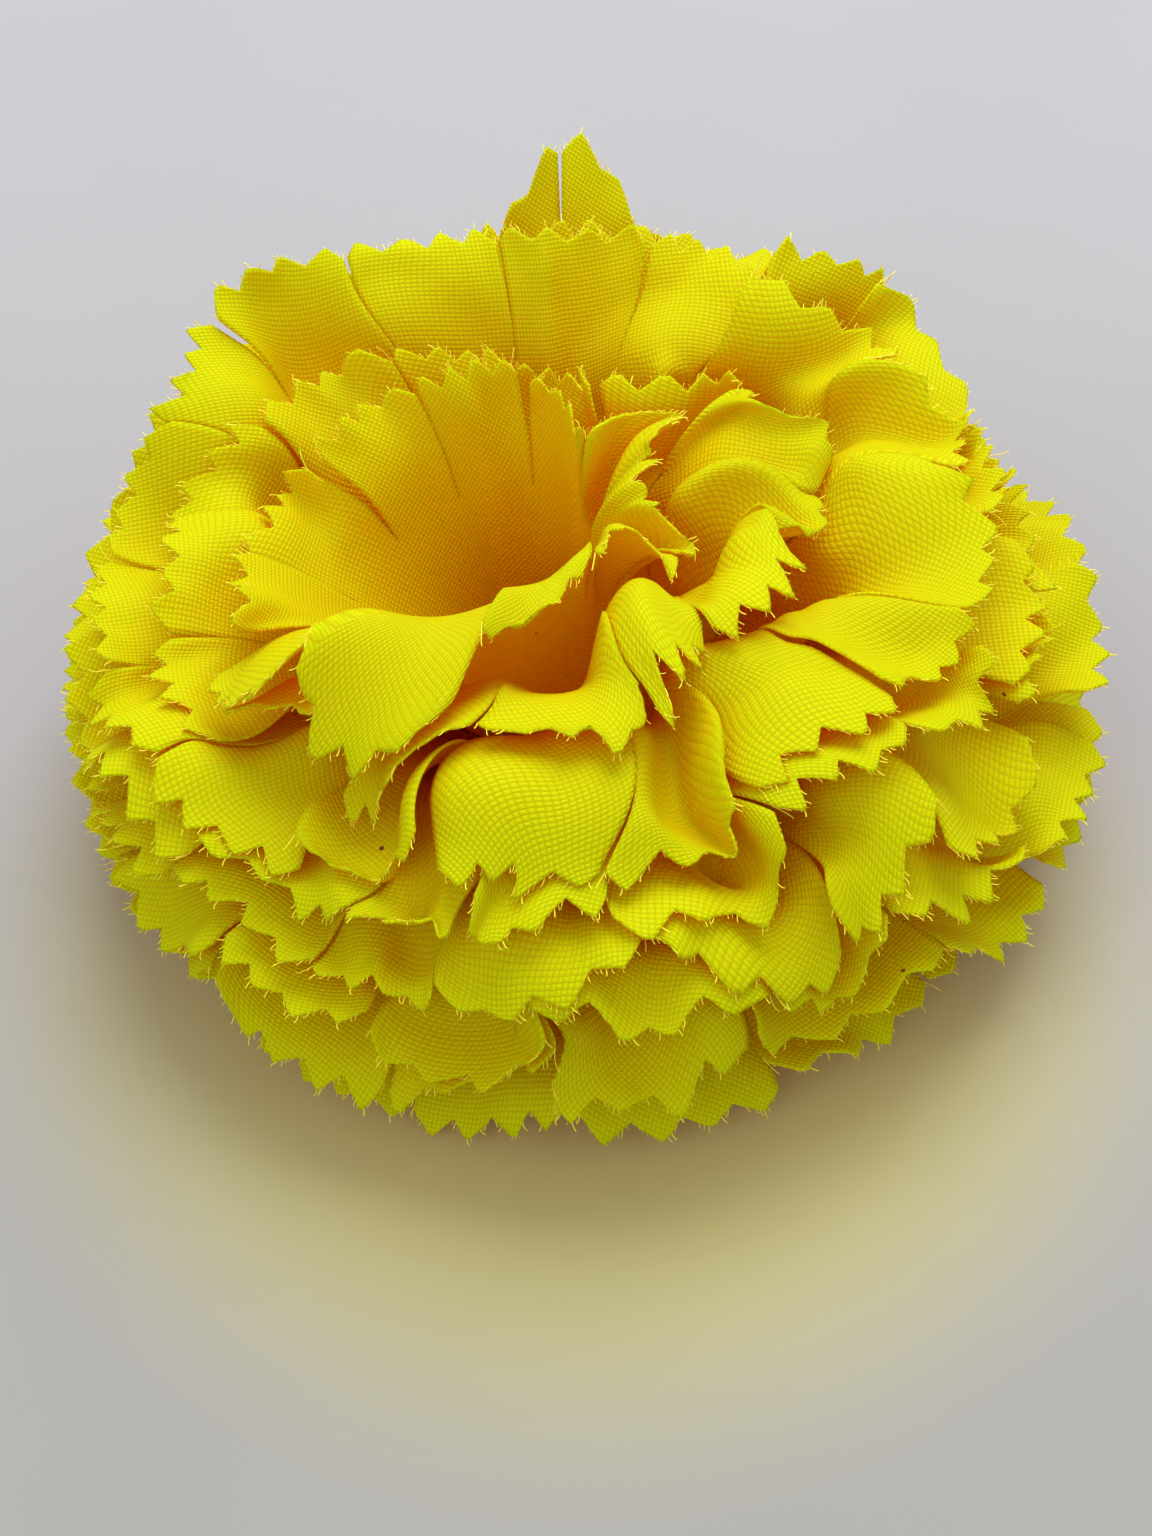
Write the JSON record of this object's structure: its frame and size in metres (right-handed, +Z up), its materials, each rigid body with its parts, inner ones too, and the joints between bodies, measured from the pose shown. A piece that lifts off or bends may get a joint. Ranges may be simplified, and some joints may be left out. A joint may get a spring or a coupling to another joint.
{
  "type": "artificial carnation flower head",
  "caption": "Stemless fabric carnation head: nested discs with zigzag rims, slit into ruffled petals round an off-centre funnel, pinned to a plastic calyx.",
  "frame": {"origin": "centre of the bounding box on the plane that the calyx stands on", "axes": "+Z up through the bloom; -Y towards the petals that bend over, -X towards the open side of the funnel"},
  "size_m": [0.096, 0.0924, 0.0452],
  "materials": {
    "petal_fabric": "plain-woven polyester, bright yellow, stiffened",
    "calyx_plastic": "moulded, satin"
  },
  "bodies": {
    "root": {"petal_disc_1": "petal_fabric", "petal_disc_2": "petal_fabric", "petal_disc_3": "petal_fabric", "petal_disc_4": "petal_fabric", "petal_disc_5": "petal_fabric", "petal_disc_6": "petal_fabric", "petal_disc_7": "petal_fabric", "petal_disc_8": "petal_fabric", "centre_pin": "calyx_plastic", "calyx": "calyx_plastic"}
  },
  "joints": []
}
